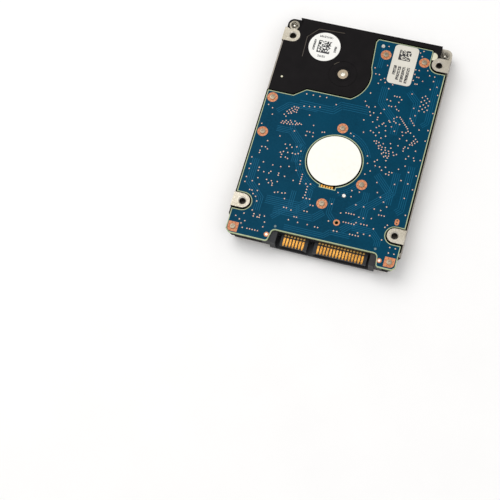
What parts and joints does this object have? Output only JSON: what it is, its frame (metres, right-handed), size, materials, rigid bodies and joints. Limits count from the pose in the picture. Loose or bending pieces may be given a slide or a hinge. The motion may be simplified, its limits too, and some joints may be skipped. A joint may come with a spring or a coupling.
{
  "type": "2.5-inch hard disk drive",
  "caption": "Slim 2.5-inch disk drive: black casting with blue circuit board, edge connector, pressed cover, disc stack and swinging head arm.",
  "frame": {"origin": "centre of the label side's bounding rectangle, on the label", "axes": "+Z towards the circuit board side, -Y towards the connector, +X to the right seen from the board side"},
  "size_m": [0.0698, 0.1002, 0.0095],
  "materials": {
    "black_casting": "black electrophoretic coat, satin",
    "cover_metal": "warm nickel-coloured pressed sheet, satin",
    "foam_gasket": "matt",
    "screw_brass": "yellow zinc plate",
    "screw_steel": "dull zinc plate",
    "label_paper": "matt printed label",
    "seal_foil": "metallised film",
    "solder_mask": "deep teal blue solder mask, semi-gloss",
    "black_film": "matt film",
    "chip_resin": "moulded resin",
    "component_ceramic": "plain",
    "machined_metal": "fine machined",
    "hardened_steel": "ground",
    "connector_plastic": "moulded, satin",
    "contact_gold": "gold plate",
    "laminated_steel": "stamped",
    "copper_winding": "enamelled copper wire",
    "white_disc": "satin film",
    "platter_mirror": "mirror polish",
    "magnet_plating": "nickel plate",
    "yoke_plating": "nickel plate",
    "spring_steel": "bright strip",
    "slider_ceramic": "polished",
    "flex_film": "amber polyimide",
    "coil_resin": "moulded",
    "stop_rubber": "matt",
    "filter_cloth": "felt",
    "tray_plastic": "moulded"
  },
  "bodies": {
    "enclosure": {"base_casting": "black_casting", "top_cover": "cover_metal", "cover_gasket": "foam_gasket", "cover_screws": "screw_brass", "board_screws": "screw_steel", "ramp_screw": "screw_steel", "pivot_shaft": "screw_steel", "product_label": "label_paper", "end_stickers": "label_paper", "round_sticker": "label_paper", "board_sticker": "label_paper", "cover_seals": "seal_foil", "circuit_board": "solder_mask", "board_insulator": "black_film", "controller_chip": "chip_resin", "buffer_chip": "chip_resin", "motor_driver_chip": "chip_resin", "flash_chip": "chip_resin", "board_passives": "component_ceramic", "locating_pins": "machined_metal", "bearing_sleeve": "machined_metal", "latch_pin": "hardened_steel", "yoke_posts": "hardened_steel", "sata_housing": "connector_plastic", "feedthrough_connector": "connector_plastic", "flex_bracket": "connector_plastic", "load_ramp": "connector_plastic", "signal_contacts": "contact_gold", "power_contacts": "contact_gold", "motor_contacts": "contact_gold", "stator_core": "laminated_steel", "stator_coils": "copper_winding", "motor_seal_disc": "white_disc", "cover_magnet": "magnet_plating", "base_magnet": "magnet_plating", "cover_yoke": "yoke_plating", "base_yoke": "yoke_plating", "flex_ribbon": "flex_film", "crash_stops": "stop_rubber", "recirculation_filter": "filter_cloth", "breather_filter": "filter_cloth", "desiccant_tray": "tray_plastic"},
    "spindle": {"spindle_hub": "machined_metal", "spindle_shaft": "hardened_steel", "rotor_magnet": "magnet_plating", "platter_cover_side": "platter_mirror", "platter_board_side": "platter_mirror", "platter_spacer": "machined_metal", "disc_clamp": "machined_metal", "clamp_screws": "screw_steel"},
    "actuator": {"arm_block": "machined_metal", "pivot_bearing": "hardened_steel", "coil_frame": "coil_resin", "voice_coil": "copper_winding", "suspensions": "spring_steel", "head_sliders": "slider_ceramic", "preamp_flex": "flex_film"},
    "latch": {"latch_lever": "connector_plastic"}
  },
  "joints": [
    {"name": "spindle_spin", "type": "hinge", "parent": "enclosure", "child": "spindle", "pos_m": [0.00015, -0.0108, 0.004], "axis": [0, 0, 1], "continuous": true},
    {"name": "actuator_swing", "type": "hinge", "parent": "enclosure", "child": "actuator", "pos_m": [-0.0062, 0.0275, 0.004], "axis": [0, 0, 1], "range_deg": [-40, 0], "deforming": ["flex_ribbon"]},
    {"name": "latch_swing", "type": "hinge", "parent": "enclosure", "child": "latch", "pos_m": [-0.0286, 0.0215, 0.0046], "axis": [0, 0, 1], "range_deg": [-8, 10]}
  ]
}
